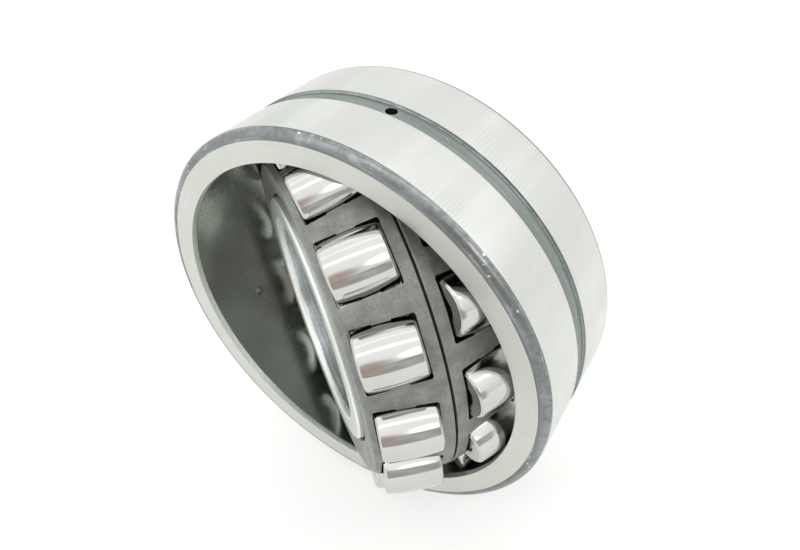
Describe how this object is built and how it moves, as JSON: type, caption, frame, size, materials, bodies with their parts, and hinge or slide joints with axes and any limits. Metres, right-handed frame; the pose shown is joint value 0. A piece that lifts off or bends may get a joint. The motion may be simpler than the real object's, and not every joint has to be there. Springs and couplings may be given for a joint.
{
  "type": "spherical roller bearing",
  "caption": "Double-row spherical roller bearing with a lubrication groove in the outer ring and its inner assembly swung out of square.",
  "frame": {"origin": "centre of the spherical raceway, on the outer ring's axis and in its middle plane", "axes": "+Y along the outer ring's axis, front face towards -Y; +Z along the axis about which the inner assembly swivels"},
  "size_m": [0.19, 0.1412, 0.19],
  "materials": {
    "outer_ring_steel": "ground bearing steel",
    "inner_ring_steel": "ground bearing steel",
    "guide_ring_steel": "turned steel, oiled",
    "cage_steel": "pressed steel, matt grey",
    "roller_steel": "superfinished bearing steel"
  },
  "bodies": {
    "outer_ring": {"outer_ring": "outer_ring_steel"},
    "inner_ring": {"inner_ring": "inner_ring_steel"},
    "guide_ring": {"guide_ring": "guide_ring_steel"},
    "cage_front": {"cage_front": "cage_steel"},
    "cage_back": {"cage_back": "cage_steel"},
    "roller_front_01": {"roller_front_01": "roller_steel"},
    "roller_front_02": {"roller_front_02": "roller_steel"},
    "roller_front_03": {"roller_front_03": "roller_steel"},
    "roller_front_04": {"roller_front_04": "roller_steel"},
    "roller_front_05": {"roller_front_05": "roller_steel"},
    "roller_front_06": {"roller_front_06": "roller_steel"},
    "roller_front_07": {"roller_front_07": "roller_steel"},
    "roller_front_08": {"roller_front_08": "roller_steel"},
    "roller_front_09": {"roller_front_09": "roller_steel"},
    "roller_front_10": {"roller_front_10": "roller_steel"},
    "roller_front_11": {"roller_front_11": "roller_steel"},
    "roller_front_12": {"roller_front_12": "roller_steel"},
    "roller_front_13": {"roller_front_13": "roller_steel"},
    "roller_front_14": {"roller_front_14": "roller_steel"},
    "roller_back_01": {"roller_back_01": "roller_steel"},
    "roller_back_02": {"roller_back_02": "roller_steel"},
    "roller_back_03": {"roller_back_03": "roller_steel"},
    "roller_back_04": {"roller_back_04": "roller_steel"},
    "roller_back_05": {"roller_back_05": "roller_steel"},
    "roller_back_06": {"roller_back_06": "roller_steel"},
    "roller_back_07": {"roller_back_07": "roller_steel"},
    "roller_back_08": {"roller_back_08": "roller_steel"},
    "roller_back_09": {"roller_back_09": "roller_steel"},
    "roller_back_10": {"roller_back_10": "roller_steel"},
    "roller_back_11": {"roller_back_11": "roller_steel"},
    "roller_back_12": {"roller_back_12": "roller_steel"},
    "roller_back_13": {"roller_back_13": "roller_steel"},
    "roller_back_14": {"roller_back_14": "roller_steel"}
  },
  "joints": [
    {"name": "swivel", "type": "hinge", "parent": "outer_ring", "child": "guide_ring", "pos_m": [0, 0, 0], "axis": [0, 0, 1], "range_deg": [-55.06, 124.94]},
    {"name": "inner_ring_spin", "type": "hinge", "parent": "guide_ring", "child": "inner_ring", "pos_m": [0, 0, 0], "axis": [-0.5727, -0.8198, 0], "continuous": true},
    {"name": "cage_front_spin", "type": "hinge", "parent": "guide_ring", "child": "cage_front", "pos_m": [0, 0, 0], "axis": [-0.5727, -0.8198, 0], "continuous": true},
    {"name": "cage_back_spin", "type": "hinge", "parent": "guide_ring", "child": "cage_back", "pos_m": [0, 0, 0], "axis": [-0.5727, -0.8198, 0], "continuous": true},
    {"name": "roller_front_01_spin", "type": "hinge", "parent": "cage_front", "child": "roller_front_01", "pos_m": [0.04587, -0.05213, 0.02808], "axis": [-0.7251, -0.6835, -0.0845], "continuous": true},
    {"name": "roller_front_02_spin", "type": "hinge", "parent": "cage_front", "child": "roller_front_02", "pos_m": [0.05038, -0.05528, -0.00397], "axis": [-0.7387, -0.674, 0.0119], "continuous": true},
    {"name": "roller_front_03_spin", "type": "hinge", "parent": "cage_front", "child": "roller_front_03", "pos_m": [0.04304, -0.05016, -0.03523], "axis": [-0.7166, -0.6894, 0.106], "continuous": true},
    {"name": "roller_front_04_spin", "type": "hinge", "parent": "cage_front", "child": "roller_front_04", "pos_m": [0.02532, -0.03777, -0.05952], "axis": [-0.6633, -0.7267, 0.1791], "continuous": true},
    {"name": "roller_front_05_spin", "type": "hinge", "parent": "cage_front", "child": "roller_front_05", "pos_m": [0.00071, -0.02058, -0.07201], "axis": [-0.5892, -0.7784, 0.2167], "continuous": true},
    {"name": "roller_front_06_spin", "type": "hinge", "parent": "cage_front", "child": "roller_front_06", "pos_m": [-0.02591, -0.00198, -0.07025], "axis": [-0.5091, -0.8343, 0.2114], "continuous": true},
    {"name": "roller_front_07_spin", "type": "hinge", "parent": "cage_front", "child": "roller_front_07", "pos_m": [-0.04927, 0.01433, -0.05457], "axis": [-0.4389, -0.8834, 0.1642], "continuous": true},
    {"name": "roller_front_08_spin", "type": "hinge", "parent": "cage_front", "child": "roller_front_08", "pos_m": [-0.06473, 0.02514, -0.02808], "axis": [-0.3923, -0.9159, 0.0845], "continuous": true},
    {"name": "roller_front_09_spin", "type": "hinge", "parent": "cage_front", "child": "roller_front_09", "pos_m": [-0.06924, 0.02829, 0.00397], "axis": [-0.3788, -0.9254, -0.0119], "continuous": true},
    {"name": "roller_front_10_spin", "type": "hinge", "parent": "cage_front", "child": "roller_front_10", "pos_m": [-0.06191, 0.02316, 0.03523], "axis": [-0.4008, -0.91, -0.106], "continuous": true},
    {"name": "roller_front_11_spin", "type": "hinge", "parent": "cage_front", "child": "roller_front_11", "pos_m": [-0.04418, 0.01078, 0.05952], "axis": [-0.4542, -0.8727, -0.1791], "continuous": true},
    {"name": "roller_front_12_spin", "type": "hinge", "parent": "cage_front", "child": "roller_front_12", "pos_m": [-0.01957, -0.00642, 0.07201], "axis": [-0.5282, -0.821, -0.2167], "continuous": true},
    {"name": "roller_front_13_spin", "type": "hinge", "parent": "cage_front", "child": "roller_front_13", "pos_m": [0.00705, -0.02501, 0.07025], "axis": [-0.6083, -0.7651, -0.2114], "continuous": true},
    {"name": "roller_front_14_spin", "type": "hinge", "parent": "cage_front", "child": "roller_front_14", "pos_m": [0.0304, -0.04133, 0.05457], "axis": [-0.6786, -0.716, -0.1642], "continuous": true},
    {"name": "roller_back_01_spin", "type": "hinge", "parent": "cage_back", "child": "roller_back_01", "pos_m": [0.06166, -0.023, 0.03576], "axis": [-0.4015, -0.9095, 0.1076], "continuous": true},
    {"name": "roller_back_02_spin", "type": "hinge", "parent": "cage_back", "child": "roller_back_02", "pos_m": [0.06921, -0.02827, 0.00457], "axis": [-0.3788, -0.9254, 0.0138], "continuous": true},
    {"name": "roller_back_03_spin", "type": "hinge", "parent": "cage_back", "child": "roller_back_03", "pos_m": [0.06492, -0.02527, -0.02752], "axis": [-0.3918, -0.9163, -0.0828], "continuous": true},
    {"name": "roller_back_04_spin", "type": "hinge", "parent": "cage_back", "child": "roller_back_04", "pos_m": [0.04963, -0.01459, -0.05416], "axis": [-0.4377, -0.8842, -0.163], "continuous": true},
    {"name": "roller_back_05_spin", "type": "hinge", "parent": "cage_back", "child": "roller_back_05", "pos_m": [0.02638, 0.00165, -0.07008], "axis": [-0.5077, -0.8353, -0.2109], "continuous": true},
    {"name": "roller_back_06_spin", "type": "hinge", "parent": "cage_back", "child": "roller_back_06", "pos_m": [-0.00022, 0.02024, -0.07211], "axis": [-0.5877, -0.7794, -0.217], "continuous": true},
    {"name": "roller_back_07_spin", "type": "hinge", "parent": "cage_back", "child": "roller_back_07", "pos_m": [-0.02491, 0.03749, -0.05986], "axis": [-0.662, -0.7275, -0.1801], "continuous": true},
    {"name": "roller_back_08_spin", "type": "hinge", "parent": "cage_back", "child": "roller_back_08", "pos_m": [-0.0428, 0.04999, -0.03576], "axis": [-0.7159, -0.6899, -0.1076], "continuous": true},
    {"name": "roller_back_09_spin", "type": "hinge", "parent": "cage_back", "child": "roller_back_09", "pos_m": [-0.05035, 0.05526, -0.00457], "axis": [-0.7386, -0.674, -0.0138], "continuous": true},
    {"name": "roller_back_10_spin", "type": "hinge", "parent": "cage_back", "child": "roller_back_10", "pos_m": [-0.04605, 0.05226, 0.02752], "axis": [-0.7257, -0.6831, 0.0828], "continuous": true},
    {"name": "roller_back_11_spin", "type": "hinge", "parent": "cage_back", "child": "roller_back_11", "pos_m": [-0.03077, 0.04158, 0.05416], "axis": [-0.6797, -0.7152, 0.163], "continuous": true},
    {"name": "roller_back_12_spin", "type": "hinge", "parent": "cage_back", "child": "roller_back_12", "pos_m": [-0.00752, 0.02534, 0.07008], "axis": [-0.6097, -0.7641, 0.2109], "continuous": true},
    {"name": "roller_back_13_spin", "type": "hinge", "parent": "cage_back", "child": "roller_back_13", "pos_m": [0.01908, 0.00676, 0.07211], "axis": [-0.5297, -0.82, 0.217], "continuous": true},
    {"name": "roller_back_14_spin", "type": "hinge", "parent": "cage_back", "child": "roller_back_14", "pos_m": [0.04377, -0.0105, 0.05986], "axis": [-0.4554, -0.8719, 0.1801], "continuous": true}
  ],
  "couplings": [
    {"joint": "cage_front_spin", "follows": "inner_ring_spin", "ratio": 0.4212},
    {"joint": "cage_back_spin", "follows": "inner_ring_spin", "ratio": 0.4212},
    {"joint": "roller_front_01_spin", "follows": "inner_ring_spin", "ratio": -3.0192},
    {"joint": "roller_front_02_spin", "follows": "inner_ring_spin", "ratio": -3.0192},
    {"joint": "roller_front_03_spin", "follows": "inner_ring_spin", "ratio": -3.0192},
    {"joint": "roller_front_04_spin", "follows": "inner_ring_spin", "ratio": -3.0192},
    {"joint": "roller_front_05_spin", "follows": "inner_ring_spin", "ratio": -3.0192},
    {"joint": "roller_front_06_spin", "follows": "inner_ring_spin", "ratio": -3.0192},
    {"joint": "roller_front_07_spin", "follows": "inner_ring_spin", "ratio": -3.0192},
    {"joint": "roller_front_08_spin", "follows": "inner_ring_spin", "ratio": -3.0192},
    {"joint": "roller_front_09_spin", "follows": "inner_ring_spin", "ratio": -3.0192},
    {"joint": "roller_front_10_spin", "follows": "inner_ring_spin", "ratio": -3.0192},
    {"joint": "roller_front_11_spin", "follows": "inner_ring_spin", "ratio": -3.0192},
    {"joint": "roller_front_12_spin", "follows": "inner_ring_spin", "ratio": -3.0192},
    {"joint": "roller_front_13_spin", "follows": "inner_ring_spin", "ratio": -3.0192},
    {"joint": "roller_front_14_spin", "follows": "inner_ring_spin", "ratio": -3.0192},
    {"joint": "roller_back_01_spin", "follows": "inner_ring_spin", "ratio": -3.0192},
    {"joint": "roller_back_02_spin", "follows": "inner_ring_spin", "ratio": -3.0192},
    {"joint": "roller_back_03_spin", "follows": "inner_ring_spin", "ratio": -3.0192},
    {"joint": "roller_back_04_spin", "follows": "inner_ring_spin", "ratio": -3.0192},
    {"joint": "roller_back_05_spin", "follows": "inner_ring_spin", "ratio": -3.0192},
    {"joint": "roller_back_06_spin", "follows": "inner_ring_spin", "ratio": -3.0192},
    {"joint": "roller_back_07_spin", "follows": "inner_ring_spin", "ratio": -3.0192},
    {"joint": "roller_back_08_spin", "follows": "inner_ring_spin", "ratio": -3.0192},
    {"joint": "roller_back_09_spin", "follows": "inner_ring_spin", "ratio": -3.0192},
    {"joint": "roller_back_10_spin", "follows": "inner_ring_spin", "ratio": -3.0192},
    {"joint": "roller_back_11_spin", "follows": "inner_ring_spin", "ratio": -3.0192},
    {"joint": "roller_back_12_spin", "follows": "inner_ring_spin", "ratio": -3.0192},
    {"joint": "roller_back_13_spin", "follows": "inner_ring_spin", "ratio": -3.0192},
    {"joint": "roller_back_14_spin", "follows": "inner_ring_spin", "ratio": -3.0192}
  ]
}
